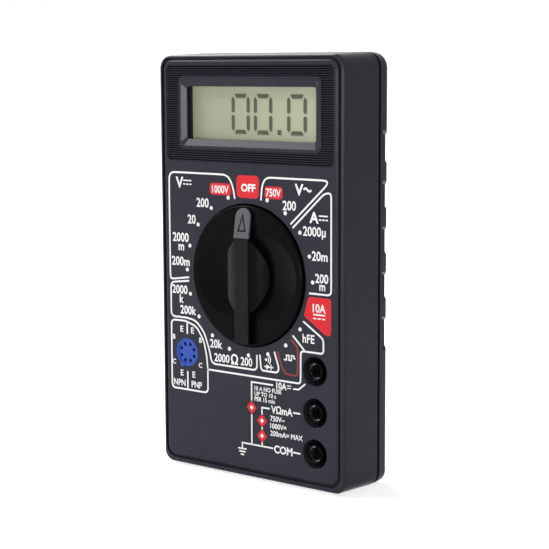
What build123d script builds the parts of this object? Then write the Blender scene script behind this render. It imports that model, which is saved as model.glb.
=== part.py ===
from build123d import *
import os

os.makedirs("parts", exist_ok=True)

# Pocket digital multimeter, standing upright on its lower edge.
# X runs across the face, Y from the face (negative) to the back, Z up.  Millimetres.
# Depths are drawn from a datum inside the case; each piece is moved by to_middle when it is written,
# so that y = 0 is then the middle of the whole depth.

# ---------------------------------------------------------------- overall size
half_width = 35.0
height = 126.0
case_depth = 21.8
knob_height = 3.2
y_face = -10.9
y_back = y_face + case_depth
y_seam = y_face + 16.8
to_middle = -(y_face - knob_height + y_back) / 2
seam_gap = 0.7
seam_chamfer = 0.2
seam_round = 0.45
draft = 2.2
rear_draft = 3.0
low_corner = 4.0
high_corner = 4.6
wall = 2.0
floor_thick = 1.8

# ---------------------------------------------------------------- face layout
shoulder_drop = 0.3
groove_drop = 0.9
plateau_half = 32.5
plateau_low = 3.0
plateau_high = 124.0
plateau_round = 0.8
groove_width = 0.8
panel_half = 31.2
panel_low = 94.0
panel_high = 122.5
panel_drop = 0.2
rib_pitch = 0.655
rib_slot = 0.4
rib_depth = 0.75
bezel_half = 26.05
bezel_low = 98.2
bezel_high = 118.8
view_half = 24.1
view_low = 100.6
view_high = 116.2
view_drop = 1.1

# ---------------------------------------------------------------- rotary switch
dial_z = 61.2
dial_radius = 20.7
dial_rise = 1.1
dial_opening = 20.95
drum_radius = 22.0
crest_radius = 22.25
ring_radius = 24.6
stop_count = 20
ball_radius = 1.5
ball_path = crest_radius - ball_radius - 0.02
notch_depth = 0.6
y_drum_front = y_face + wall + 0.1
y_drum_back = -2.9
y_ball = -5.4
spring_seat = 12.0
bar_half = 2.75
bar_reach = 19.9
pointer_start = 11.3
pointer_end = 20.0
pointer_thick = 0.6

# ---------------------------------------------------------------- inside
y_inner = y_face + wall
y_board = -1.9
board_thick = 1.6
y_rear_board = y_board + board_thick
y_floor = y_back - floor_thick
board_half = 31.2
socket_x = -24.2
socket_z = 35.7
pin_circle = 2.7
key_angle = 241
jack_x = 24.2
jack_heights = {"10a": 35.5, "volt_ohm": 23.3, "common": 11.3}
jack_bore = 2.0
board_screws_at = [(-29.5, 92.0), (29.5, 92.0), (29.9, 29.4), (-8.0, 34.2)]
case_screws_at = [(-28.5, 46.5), (28.5, 46.5)]
battery_x0 = -31.2
battery_body = 44.6
battery_tall = 26.4
battery_thick = 17.4
battery_z = 17.0
battery_y = 0.15
lead_radius = 0.7


def facing(y):
    """Drawing plane seen from the front: local x is X, local y is Z."""
    return Plane(origin=(0, y, 0), x_dir=(1, 0, 0), z_dir=(0, -1, 0))


def disc(x, z, radius, y0, y1, mode=Mode.ADD):
    """Round bar between two depths."""
    with BuildSketch(facing(y0)) as s:
        with Locations((x, z)):
            Circle(radius)
    extrude(s.sketch, amount=y0 - y1, mode=mode)


def tube(x, z, outer, inner, y0, y1):
    """Round tube between two depths."""
    with BuildSketch(facing(y0)) as s:
        with Locations((x, z)):
            Circle(outer)
            Circle(inner, mode=Mode.SUBTRACT)
    extrude(s.sketch, amount=y0 - y1)


def block(x0, x1, y0, y1, z0, z1, mode=Mode.ADD):
    """Square-edged block between two corners."""
    with Locations(((x0 + x1) / 2, (y0 + y1) / 2, (z0 + z1) / 2)):
        Box(x1 - x0, y1 - y0, z1 - z0, mode=mode)


def rounded(x0, x1, z0, z1, radius, y0, y1, mode=Mode.ADD):
    """Plate with rounded corners between two depths."""
    with BuildSketch(facing(y0)) as s:
        with Locations(((x0 + x1) / 2, (z0 + z1) / 2)):
            RectangleRounded(x1 - x0, z1 - z0, radius)
    extrude(s.sketch, amount=y0 - y1, mode=mode)


along_x = (0, 90, 0)


def rod(x, y, z, radius, length, turn, mode=Mode.ADD):
    """Round rod about its middle."""
    with Locations(Location((x, y, z), turn)):
        Cylinder(radius, length, mode=mode)


def outline(y, inset, low_radius, high_radius):
    """Outline of the case moved inwards by inset, with its own upper and lower corners."""
    with BuildSketch(facing(y)) as s:
        with Locations((0, height / 2)):
            Rectangle(2 * (half_width - inset), height - 2 * inset)
        fillet(s.vertices().group_by(Axis.Y)[0], low_radius)
        fillet(s.vertices().group_by(Axis.Y)[-1], high_radius)
    return s.sketch


# ---------------------------------------------------------------- front half of the case
y_front_end = y_seam - seam_gap / 2
y_shoulder = y_face + shoulder_drop
rib_count = int((panel_high - panel_low) / rib_pitch)

with BuildPart() as front_case:
    extrude(outline(y_front_end, 0, low_corner, high_corner), amount=y_front_end - y_shoulder, taper=draft)
    fillet(front_case.faces().sort_by(Axis.Y)[0].edges(), 1.0)
    chamfer(front_case.faces().sort_by(Axis.Y)[-1].edges(), seam_chamfer)
    # sunk line round the raised face
    rounded(-plateau_half - groove_width, plateau_half + groove_width,
            plateau_low - groove_width, plateau_high + groove_width, 3.8,
            y_shoulder - 1, y_face + groove_drop, mode=Mode.SUBTRACT)
    rounded(-plateau_half, plateau_half, plateau_low, plateau_high, 3, y_face, y_face + 1.2)
    fillet(front_case.faces().sort_by(Axis.Y)[0].edges(), plateau_round)
    # hollow
    extrude(outline(y_front_end, wall, 2.5, 4), amount=y_front_end - y_inner, taper=draft,
            mode=Mode.SUBTRACT)
    # ribbed panel round the display
    rounded(-panel_half, panel_half, panel_low, panel_high, 2,
            y_face - 1, y_face + panel_drop, mode=Mode.SUBTRACT)
    with BuildSketch(facing(y_face + panel_drop)):
        with Locations((0, (panel_low + panel_high) / 2)):
            with GridLocations(0, rib_pitch, 1, rib_count):
                Rectangle(2 * panel_half - 0.6, rib_slot)
        with Locations((0, (bezel_low + bezel_high) / 2)):
            RectangleRounded(2 * bezel_half + 1, bezel_high - bezel_low + 1, 2, mode=Mode.SUBTRACT)
    extrude(amount=panel_drop - rib_depth, mode=Mode.SUBTRACT)
    # sloping frame of the display, then its straight opening
    with BuildSketch(facing(y_face - 0.01)) as bezel_outer:
        with Locations((0, (bezel_low + bezel_high) / 2)):
            RectangleRounded(2 * bezel_half, bezel_high - bezel_low, 1.6)
    with BuildSketch(facing(y_face + view_drop)) as bezel_inner:
        with Locations((0, (view_low + view_high) / 2)):
            RectangleRounded(2 * view_half, view_high - view_low, 0.8)
    loft([bezel_outer.sketch, bezel_inner.sketch], mode=Mode.SUBTRACT)
    rounded(-view_half, view_half, view_low, view_high, 0.8, y_face, y_inner + 1, mode=Mode.SUBTRACT)
    # round opening of the switch, with a bevelled edge
    disc(0, dial_z, dial_opening, y_face - 1, y_inner + 1, mode=Mode.SUBTRACT)
    with BuildSketch(facing(y_face)) as bevel:
        with Locations((0, dial_z)):
            Circle(dial_opening + 0.3)
    extrude(bevel.sketch, amount=-0.3, taper=45, mode=Mode.SUBTRACT)
    # detent ring
    tube(0, dial_z, ring_radius, crest_radius, y_inner, -3.4)
    with BuildSketch(facing(y_inner)) as notches:
        with Locations((0, dial_z)):
            with PolarLocations(crest_radius - ball_radius + notch_depth, stop_count, 90):
                Circle(ball_radius + 0.1)
    extrude(notches.sketch, amount=y_inner + 3.4, mode=Mode.SUBTRACT)
    # openings and guide tubes for the test sockets and the transistor socket
    for jack_z in jack_heights.values():
        tube(jack_x, jack_z, 5.25, 4.25, y_inner, -2.2)
        disc(jack_x, jack_z, 4.25, y_face - 1, y_inner + 1, mode=Mode.SUBTRACT)
    with BuildSketch(facing(y_face)) as jack_edges:
        for jack_z in jack_heights.values():
            with Locations((jack_x, jack_z)):
                Circle(4.55)
    extrude(jack_edges.sketch, amount=-0.3, taper=45, mode=Mode.SUBTRACT)
    disc(socket_x, socket_z, 4.4, y_face - 1, y_inner + 1, mode=Mode.SUBTRACT)
    with BuildSketch(facing(y_face - 1)) as key_notch:
        with Locations((socket_x, socket_z)):
            with PolarLocations(4.5, 1, key_angle):
                Circle(0.75)
    extrude(key_notch.sketch, amount=-4, mode=Mode.SUBTRACT)
    # posts for the circuit board and for the rear case
    for x, z in board_screws_at:
        tube(x, z, 2.3, 1.05, y_inner, y_board)
    for x, z in case_screws_at:
        tube(x, z, 3.0, 1.35, y_inner, 4.0)
    # battery bay
    block(-32.3, 17.6, y_inner - 0.5, -2.2, 30.5, 31.1)
    for x in (-20.0, 2.0):
        block(x - 0.6, x + 0.6, y_inner - 0.5, battery_y - battery_thick / 2 - 0.1, 5.0, 28.0)
    # catches for the hooks of the rear case
    for x in (-18.0, 18.0):
        block(x - 4.3, x + 4.3, 3.4, 5.0, 123.4, 124.6, mode=Mode.SUBTRACT)

# ---------------------------------------------------------------- rear half of the case
y_rear_start = y_seam + seam_gap / 2
tongue_inset = 2.25
rear_wall = 3.45
grip_high = 103.8
grip_pitch = 13.15
grip_recess = 8.9
grip_end = 1.2
grip_depth = 1.5
pad_pocket = 0.4

with BuildPart() as rear_case:
    extrude(outline(y_rear_start, 0, low_corner, high_corner), amount=y_rear_start - y_back,
            taper=rear_draft)
    fillet(rear_case.faces().sort_by(Axis.Y)[-1].edges(), 1.8)
    fillet(rear_case.faces().sort_by(Axis.Y)[0].edges(), seam_round)
    # tongue that slips inside the front half
    extrude(outline(y_rear_start, tongue_inset, 2.4, 3.9), amount=2.85)
    extrude(outline(y_rear_start - 2.85, rear_wall, 1.6, 3), amount=y_rear_start - 2.85 - y_floor,
            mode=Mode.SUBTRACT)
    for x in (-18.0, 18.0):
        block(x - 4, x + 4, 3.6, 4.8, 123.0, 124.3)
    # finger grips on both sides
    with BuildSketch(facing(y_rear_start + 1.2)) as grips:
        for side in (-1, 1):
            for step in range(5):
                middle = grip_high - grip_end - grip_recess / 2 - step * grip_pitch
                top = grip_recess / 2 + (grip_end if step == 0 else 0)
                low = -grip_recess / 2 - (grip_end if step == 4 else 0)
                with Locations((side * half_width, middle)):
                    Polygon((side * 0.6, top + 0.5), (-side * grip_depth, top - 1.3),
                            (-side * grip_depth, low + 1.3), (side * 0.6, low - 0.5), align=None)
    extrude(grips.sketch, amount=-case_depth, mode=Mode.SUBTRACT)
    # pocket of the foam pad behind the battery
    block(-28.3, 8.3, y_floor - 1, y_floor + pad_pocket, 7.7, 26.3, mode=Mode.SUBTRACT)
    # bosses and head recesses of the two case screws
    for x, z in case_screws_at:
        disc(x, z, 4.2, 4.1, y_floor)
    for x, z in case_screws_at:
        disc(x, z, 1.6, 3.0, y_back + 1, mode=Mode.SUBTRACT)
        disc(x, z, 3.0, 7.0, y_back + 1, mode=Mode.SUBTRACT)
    # shallow blank label field and two foot rails on the back
    rounded(-20, 20, 62, 100, 2, y_back - 0.3, y_back + 1, mode=Mode.SUBTRACT)
    for z in (14.0, 17.0, 20.0, 23.0, 26.0):
        rounded(-16, 16, z - 0.6, z + 0.6, 0.55, y_back - 0.5, y_back + 1, mode=Mode.SUBTRACT)

# ---------------------------------------------------------------- display
with BuildPart() as display_window:
    rounded(-27.4, 27.4, 97.3, 119.7, 1, y_inner + 0.05, y_inner + 1.0)

lcd_front = y_face + 4.4
lcd_back = lcd_front + 2.4

with BuildPart() as lcd_panel:
    block(-25.4, 25.4, lcd_front, lcd_back, 98.4, 118.2)

with BuildPart() as lcd_frame:
    rounded(-29, 29, 95, 121.5, 1, y_inner + 1.1, y_board - 0.05)
    block(-25.5, 25.5, lcd_front, y_board, 98.3, 118.3, mode=Mode.SUBTRACT)
    rounded(-24.6, 24.6, 100.1, 116.7, 0.6, y_inner, lcd_front + 1, mode=Mode.SUBTRACT)

with BuildPart() as zebra_strip:
    block(-24, 24, lcd_back, y_board, 98.8, 101.0)

# ---------------------------------------------------------------- circuit board
with BuildPart() as circuit_board:
    with BuildSketch(facing(y_rear_board)) as board:
        with Locations((0, 76.75)):
            Rectangle(2 * board_half, 90.5)
        with Locations(((18.6 + board_half) / 2, 18.5)):
            Rectangle(board_half - 18.6, 28.0)
        fillet(board.vertices().group_by(Axis.Y)[-1], 2)
        with Locations((0, dial_z)):
            Circle(2.55, mode=Mode.SUBTRACT)
        with Locations(*board_screws_at):
            Circle(1.2, mode=Mode.SUBTRACT)
        with Locations(*case_screws_at):
            Circle(3.3, mode=Mode.SUBTRACT)
        with Locations((-31, 46.5), (31, 46.5)):
            Rectangle(5, 6.6, mode=Mode.SUBTRACT)
        for jack_z in jack_heights.values():
            with Locations((jack_x, jack_z)):
                Circle(2.3, mode=Mode.SUBTRACT)
        with Locations((20.0, 31.0), (20.0, 15.0)):
            Circle(0.75, mode=Mode.SUBTRACT)
        with Locations((socket_x, socket_z)):
            with PolarLocations(pin_circle, 8, 22.5):
                Circle(0.6, mode=Mode.SUBTRACT)
    extrude(amount=board_thick)

track_radii = [7.5, 9.7, 11.9, 14.1, 16.3, 18.5]

with BuildPart() as switch_tracks:
    with BuildSketch(facing(y_board)) as tracks:
        with Locations((0, dial_z)):
            for radius in track_radii:
                Circle(radius + 0.75)
                Circle(radius - 0.75, mode=Mode.SUBTRACT)
            with PolarLocations(15.2, 20, 9):
                Rectangle(5.2, 0.5, mode=Mode.SUBTRACT)
            with PolarLocations(9.7, 5, 27):
                Rectangle(2.2, 0.5, mode=Mode.SUBTRACT)
    extrude(amount=0.05)

# ---------------------------------------------------------------- rotary switch
lens_half = 8.4
lens_reach = 12.1
lens_radius = (lens_half**2 + lens_reach**2) / (2 * lens_half)
back_roll = 13.7
scoop_middle = 6.5
scoop_radius = 12.1
scoop_depth = 2.0
scoop_ball = (scoop_radius**2 + scoop_depth**2) / (2 * scoop_depth)
slope_high = knob_height
slope_low = 1.9

# grip between the finger scoops, with a rounded back
with BuildPart() as grip_core:
    with BuildSketch(facing(y_face + 1.2)):
        with Locations((lens_radius - lens_half, dial_z)):
            Circle(lens_radius)
        with Locations((lens_half - lens_radius, dial_z)):
            Circle(lens_radius, mode=Mode.INTERSECT)
    extrude(amount=1.2 + knob_height)
    rod(0, y_face + back_roll - knob_height + 0.1, dial_z, back_roll, 40, (0, 0, 0), mode=Mode.INTERSECT)
    fillet(grip_core.faces().sort_by(Axis.Y)[0].edges(), 0.4)
    # the pointed ends stay inside the bar
    block(-lens_half, lens_half, y_face - knob_height, y_face + 1.2, dial_z - 11, dial_z + 11,
          mode=Mode.INTERSECT)


def pointer_wedge(top_drop, foot_high, foot_low):
    """Sloping end of the bar: its top lies top_drop under the slope, its foot at the two given heights."""
    with BuildPart() as wedge:
        with BuildSketch(Plane.YZ.offset(-bar_half)):
            Polygon((y_face - slope_high + top_drop, dial_z + pointer_start + 0.02),
                    (y_face - slope_low + top_drop, dial_z + pointer_end),
                    (y_face - foot_low, dial_z + pointer_end),
                    (y_face - foot_high, dial_z + pointer_start + 0.02), align=None)
        extrude(amount=2 * bar_half)
        fillet(wedge.edges().filter_by(Axis.Y).sort_by(Axis.Z)[-2:], 2.6)
    return wedge.part


with BuildPart() as dial_knob:
    disc(0, dial_z, drum_radius, y_drum_front, y_drum_back)
    disc(0, dial_z, dial_radius, y_face - dial_rise, y_drum_front)
    fillet(dial_knob.faces().sort_by(Axis.Y)[0].edges(), 0.6)
    # finger scoops on both sides of the grip
    with Locations(*[(side * scoop_middle, y_face - dial_rise + scoop_depth - scoop_ball, dial_z)
                     for side in (-1, 1)]):
        Sphere(scoop_ball, mode=Mode.SUBTRACT)
    add(grip_core.part)
    # straight bar of the grip, with a sloping end that carries the pointer
    block(-bar_half, bar_half, y_face - knob_height, y_face + 1.2, dial_z - bar_reach, dial_z + pointer_start)
    bar_top = dial_knob.faces().sort_by(Axis.Y)[0]
    fillet(bar_top.edges().sort_by(Axis.Z)[:-1], 0.35)
    add(pointer_wedge(pointer_thick + 0.01, -1.2, -1.2))
    block(-bar_half, bar_half, y_face - 1.0, y_face + 1.2, dial_z + pointer_start - 0.1,
          dial_z + pointer_start + 0.1)
    # pivot that turns in the board
    disc(0, dial_z, 2.45, y_drum_back, y_rear_board + 0.3)
    # pockets of the two detent balls with their springs
    for side in (-1, 1):
        with BuildSketch(Plane.XY.offset(dial_z + side * spring_seat)) as pocket:
            with Locations((0, y_ball)):
                Circle(ball_radius + 0.03)
        extrude(pocket.sketch, amount=side * 11, mode=Mode.SUBTRACT)
    # seats of the contact springs
    with BuildSketch(facing(y_drum_back - 0.3)) as seats:
        with Locations((0, dial_z)):
            with PolarLocations(13.0, 6, 30):
                Rectangle(8.4, 1.7)
    extrude(seats.sketch, amount=-0.3, mode=Mode.SUBTRACT)

slope_run = Vector(0, slope_high - slope_low, pointer_end - pointer_start).normalized()


def pointer_triangle(sunk):
    """Outline of the pointing triangle on the sloping face, lowered by sunk."""
    slope = Plane(origin=(0, y_face - slope_high, dial_z + pointer_start), x_dir=(1, 0, 0),
                  z_dir=(0, -slope_run.Z, slope_run.Y))
    with BuildSketch(slope.offset(-sunk)) as s:
        Polygon((-1.65, 1.9), (1.65, 1.9), (0, 7.6), align=None)
        Polygon((-0.95, 2.4), (0.95, 2.4), (0, 5.7), align=None, mode=Mode.SUBTRACT)
    return s.sketch


with BuildPart() as dial_pointer:
    add(pointer_wedge(0, slope_high - pointer_thick, slope_low - pointer_thick))
    extrude(pointer_triangle(-0.1), amount=-0.3, mode=Mode.SUBTRACT)

with BuildPart() as pointer_mark:
    extrude(pointer_triangle(0.02), amount=-0.18)

with BuildPart() as wiper_contacts:
    bow = [(9.0, -3.0), (10.2, -3.0), (11.6, -1.97), (12.2, -1.97), (13.4, -2.8),
           (14.8, -2.8), (16.0, -1.97), (16.6, -1.97), (17.0, -2.35)]
    under = [(r, y - 0.2) for r, y in reversed(bow)]
    for arm in PolarLocations(1, 6, 30):
        out = Vector(arm.position.X, 0, arm.position.Y)
        with BuildSketch(Plane(origin=(0, 0, dial_z), x_dir=out, z_dir=(-out.Z, 0, out.X))):
            Polygon(*bow, *under, align=None)
        extrude(amount=0.7, both=True)


def detent_ball(side):
    """Detent ball held back on the crest of the ring; side is 1 above and -1 below the pivot."""
    with BuildPart() as ball:
        with Locations((0, y_ball, dial_z + side * ball_path)):
            Sphere(ball_radius)
    return ball


def detent_spring(side):
    """Coil spring that presses one detent ball outwards."""
    coil_length = 7.2
    low_end = spring_seat + 0.2 if side > 0 else -spring_seat - 0.2 - coil_length
    with BuildPart() as spring:
        with BuildLine() as coil:
            Helix(0.9, coil_length, 1.05, center=(0, y_ball, dial_z + low_end))
        with BuildSketch(Plane(origin=coil.line @ 0, z_dir=coil.line % 0)):
            Circle(0.17)
        sweep(is_frenet=True)
    return spring


detent_ball_upper = detent_ball(1)
detent_ball_lower = detent_ball(-1)
detent_spring_upper = detent_spring(1)
detent_spring_lower = detent_spring(-1)

# ---------------------------------------------------------------- transistor socket
with BuildPart() as transistor_socket:
    disc(socket_x, socket_z, 4.3, y_face + 0.05, y_board)
    with BuildSketch(facing(y_face + 0.05)) as key:
        with Locations((socket_x, socket_z)):
            with PolarLocations(4.5, 1, key_angle):
                Circle(0.65)
    extrude(key.sketch, amount=-1.5)
    disc(socket_x, socket_z, 3.75, y_face, y_face + 0.35, mode=Mode.SUBTRACT)
    with BuildSketch(facing(y_face)) as pins:
        with Locations((socket_x, socket_z)):
            with PolarLocations(pin_circle, 8, 22.5):
                Circle(0.6)
    extrude(pins.sketch, amount=y_face - y_board, mode=Mode.SUBTRACT)

with BuildPart() as transistor_contacts:
    with BuildSketch(facing(y_face + 2.5)):
        with Locations((socket_x, socket_z)):
            with PolarLocations(pin_circle, 8, 22.5):
                Circle(0.58)
                Circle(0.36, mode=Mode.SUBTRACT)
    extrude(amount=y_face + 2.5 - (y_rear_board + 0.5))

# ---------------------------------------------------------------- test sockets
jack_front = y_face + 1.0
jack_end = 6.0


def jack_sleeve(z):
    """Brass sleeve for a 4 mm plug, soldered through the board."""
    with BuildPart() as sleeve:
        tube(jack_x, z, jack_bore + 0.25, jack_bore, jack_front, jack_end)
    return sleeve


def jack_collar(z):
    """Insulating collar with a foot that rests on the board."""
    with BuildPart() as collar:
        tube(jack_x, z, 2.8, jack_bore + 0.27, y_face + 0.2, -3.0)
        tube(jack_x, z, 4.15, jack_bore + 0.27, -3.2, y_board)
        fillet(collar.faces().sort_by(Axis.Y)[0].edges().sort_by(SortBy.LENGTH)[-1:], 0.2)
    return collar


with BuildPart() as solder_joints:
    for jack_z in jack_heights.values():
        with Locations(Location((jack_x, y_rear_board + 0.5, jack_z), (-90, 0, 0))):
            Cone(3.3, 2.5, 1.0)
        disc(jack_x, jack_z, jack_bore + 0.25, -1, 2, mode=Mode.SUBTRACT)

with BuildPart() as shunt_wire:
    with BuildLine() as shunt_path:
        FilletPolyline((20.0, y_board + 0.05, 31.0), (20.0, 3.2, 31.0), (20.0, 3.2, 15.0),
                       (20.0, y_board + 0.05, 15.0), radius=1.8)
    with BuildSketch(Plane(origin=shunt_path.line @ 0, z_dir=shunt_path.line % 0)):
        Circle(0.7)
    sweep()

# ---------------------------------------------------------------- fuse
fuse_z = 40.5
fuse_y = 3.1
fuse_x0 = -22.5
fuse_length = 20.0

fuse_x = fuse_x0 + fuse_length / 2
cap_length = 5.0

with BuildPart() as fuse_glass:
    rod(fuse_x, fuse_y, fuse_z, 2.4, fuse_length - 0.8, along_x)
    rod(fuse_x, fuse_y, fuse_z, 1.8, fuse_length, along_x, mode=Mode.SUBTRACT)

with BuildPart() as fuse_caps:
    rod(fuse_x, fuse_y, fuse_z, 2.6, fuse_length, along_x)
    rod(fuse_x, fuse_y, fuse_z, 2.42, fuse_length - 0.7, along_x, mode=Mode.SUBTRACT)
    rod(fuse_x, fuse_y, fuse_z, 3, fuse_length - 2 * cap_length, along_x, mode=Mode.SUBTRACT)

with BuildPart() as fuse_element:
    rod(fuse_x, fuse_y, fuse_z, 0.12, fuse_length - 0.7, along_x)

with BuildPart() as fuse_clips:
    for x in (fuse_x0 + 2.6, fuse_x0 + fuse_length - 2.6):
        block(x - 2, x + 2, y_rear_board, fuse_y + 1.8, fuse_z - 3.05, fuse_z + 3.05)
        block(x - 3, x + 3, y_rear_board + 0.4, fuse_y + 3, fuse_z - 2.62, fuse_z + 2.62,
              mode=Mode.SUBTRACT)

# ---------------------------------------------------------------- battery and its connector
battery_x1 = battery_x0 + battery_body
terminal_height = 2.0
terminal_offset = 6.35
snap_x0 = battery_x1 + terminal_height + 0.05
snap_x1 = snap_x0 + 2.4

with BuildPart() as battery:
    block(battery_x0, battery_x1, battery_y - battery_thick / 2, battery_y + battery_thick / 2,
          battery_z - battery_tall / 2, battery_z + battery_tall / 2)
    fillet(battery.edges().filter_by(Axis.X), 2.0)
    fillet(battery.faces().filter_by(Axis.X).edges(), 0.5)

with BuildPart() as battery_terminals:
    rod(battery_x1 + terminal_height / 2, battery_y, battery_z + terminal_offset, 2.85,
        terminal_height, along_x)
    with BuildSketch(Plane.YZ.offset(battery_x1)):
        with Locations((battery_y, battery_z - terminal_offset)):
            RegularPolygon(3.9, 6)
            Circle(2.9, mode=Mode.SUBTRACT)
    extrude(amount=terminal_height)

with BuildPart() as battery_snap:
    block(snap_x0, snap_x1, battery_y - 6, battery_y + 6, battery_z - 11.8, battery_z + 11.8)
    fillet(battery_snap.edges().filter_by(Axis.X), 1.2)

with BuildPart() as snap_contacts:
    with BuildSketch(Plane.YZ.offset(snap_x0 - 1.6)):
        with Locations((battery_y, battery_z + terminal_offset)):
            RegularPolygon(3.9, 6)
            Circle(2.88, mode=Mode.SUBTRACT)
        with Locations((battery_y, battery_z - terminal_offset)):
            Circle(2.85)
    extrude(amount=1.6)

snap_top = battery_z + 11.8
lead_x = (snap_x0 + snap_x1) / 2


def battery_lead(y, z_pad, bend):
    """Insulated lead from the connector up behind the board and forward onto its pad."""
    with BuildPart() as lead:
        with BuildLine() as path:
            FilletPolyline((lead_x, y, snap_top), (lead_x, y, z_pad), (lead_x, y_rear_board, z_pad),
                           radius=bend)
        with BuildSketch(Plane.XY.offset(snap_top)):
            with Locations((lead_x, y)):
                Circle(lead_radius)
        sweep()
    run = sum(edge.length for edge in path.edges())
    print("lead", round(run, 2), "mm, bend", bend, "mm, volume", round(lead.part.volume, 2),
          "of", round(3.14159 * lead_radius**2 * run, 2), "mm3")
    return lead


battery_lead_red = battery_lead(4.6, 47.0, 4.0)
battery_lead_black = battery_lead(3.0, 41.0, 2.8)

with BuildPart() as battery_pad:
    block(-28, 8, battery_y + battery_thick / 2, y_floor + pad_pocket, 8, 26)

# ---------------------------------------------------------------- parts on the back of the board
with BuildPart() as piezo_buzzer:
    disc(19.5, 80, 6, y_rear_board, 7.2)
    fillet(piezo_buzzer.faces().sort_by(Axis.Y)[-1].edges(), 0.6)
    disc(19.5, 80, 1.2, 5.0, 8.0, mode=Mode.SUBTRACT)

with BuildPart() as chip_blob:
    disc(-12, 80, 6.5, y_rear_board, 1.5)
    fillet(chip_blob.faces().sort_by(Axis.Y)[-1].edges(), 1.6)

trimmer_x = 4.0
trimmer_z = 82.0

with BuildPart() as trimmer_body:
    block(trimmer_x - 3.2, trimmer_x + 3.2, y_rear_board, 2.9, trimmer_z - 3.2, trimmer_z + 3.2)
    disc(trimmer_x, trimmer_z, 2.45, 0.9, 4, mode=Mode.SUBTRACT)
    chamfer(trimmer_body.edges().filter_by(Axis.Y), 0.5)

with BuildPart() as trimmer_rotor:
    disc(trimmer_x, trimmer_z, 2.38, 0.95, 2.8)
    block(trimmer_x - 1.7, trimmer_x + 1.7, 2.0, 3, trimmer_z - 0.3, trimmer_z + 0.3, mode=Mode.SUBTRACT)
    block(trimmer_x - 0.3, trimmer_x + 0.3, 2.0, 3, trimmer_z - 1.7, trimmer_z + 1.7, mode=Mode.SUBTRACT)

resistor_spots = [(x, z) for x in (-18.0, -4.0) for z in (100.0, 104.0, 108.0, 112.0, 116.0)]
diode_spots = [(10.5, 98.5), (10.5, 103.0)]
y_axial = y_rear_board + 1.5


def axial_leads(spots, body_half, foot):
    """Bent wire leads of parts that lie flat on the board."""
    for x, z in spots:
        for side in (-1, 1):
            with BuildLine() as path:
                FilletPolyline((x + side * body_half, y_axial, z), (x + side * foot, y_axial, z),
                               (x + side * foot, y_rear_board, z), radius=0.7)
            with BuildSketch(Plane(origin=path.line @ 0, z_dir=path.line % 0)) as s:
                Circle(0.28)
            sweep(s.sketch, path=path.line)


with BuildPart() as resistor_bodies:
    for x, z in resistor_spots:
        rod(x, y_axial, z, 0.95, 6.0, along_x)
        rod(x - 2.4, y_axial, z, 1.15, 1.5, along_x)
        rod(x + 2.4, y_axial, z, 1.15, 1.5, along_x)

with BuildPart() as resistor_leads:
    axial_leads(resistor_spots, 3.15, 5.0)

with BuildPart() as diodes:
    for x, z in diode_spots:
        rod(x, y_axial, z, 1.25, 4.4, along_x)

with BuildPart() as diode_leads:
    axial_leads(diode_spots, 2.2, 4.2)

with BuildPart() as electrolytic_capacitor:
    disc(22.5, 104, 3.15, y_rear_board, 7.6)
    fillet(electrolytic_capacitor.faces().sort_by(Axis.Y)[-1].edges(), 0.4)
    block(20, 25, 7.4, 8, 103.9, 104.1, mode=Mode.SUBTRACT)
    block(22.4, 22.6, 7.4, 8, 101.5, 106.5, mode=Mode.SUBTRACT)

with BuildPart() as film_capacitors:
    for z in (109.0, 113.5, 118.0):
        block(7.0, 14.2, y_rear_board, 5.8, z - 1.3, z + 1.3)
    fillet(film_capacitors.edges().filter_by(Axis.Y), 0.4)

transistor_spots = [(-27.0, 84.0), (-27.0, 77.0)]

with BuildPart() as transistor_bodies:
    for x, z in transistor_spots:
        disc(x, z, 2.3, 1.4, 6.0)
    block(-26.0, -24.0, 1, 7, 70, 90, mode=Mode.SUBTRACT)

with BuildPart() as transistor_legs:
    for x, z in transistor_spots:
        for step in (-1.27, 0, 1.27):
            block(x - 0.2, x + 0.2, y_rear_board, 1.4, z + step - 0.2, z + step + 0.2)

# ---------------------------------------------------------------- screws
with BuildPart() as board_screws:
    for x, z in board_screws_at:
        disc(x, z, 2.0, y_rear_board, y_rear_board + 1.3)
        disc(x, z, 1.03, -6.9, y_rear_board)
    fillet(board_screws.faces().sort_by(Axis.Y)[-4:].edges(), 0.5)
    for x, z in board_screws_at:
        block(x - 1.2, x + 1.2, y_rear_board + 0.7, 2, z - 0.2, z + 0.2, mode=Mode.SUBTRACT)
        block(x - 0.2, x + 0.2, y_rear_board + 0.7, 2, z - 1.2, z + 1.2, mode=Mode.SUBTRACT)

with BuildPart() as case_screws:
    for x, z in case_screws_at:
        disc(x, z, 2.7, 7.0, 9.0)
        disc(x, z, 1.33, -3.0, 7.0)
    fillet(case_screws.faces().sort_by(Axis.Y)[-2:].edges(), 0.7)
    for x, z in case_screws_at:
        block(x - 1.6, x + 1.6, 8.1, 10, z - 0.3, z + 0.3, mode=Mode.SUBTRACT)
        block(x - 0.3, x + 0.3, 8.1, 10, z - 1.6, z + 1.6, mode=Mode.SUBTRACT)

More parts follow.
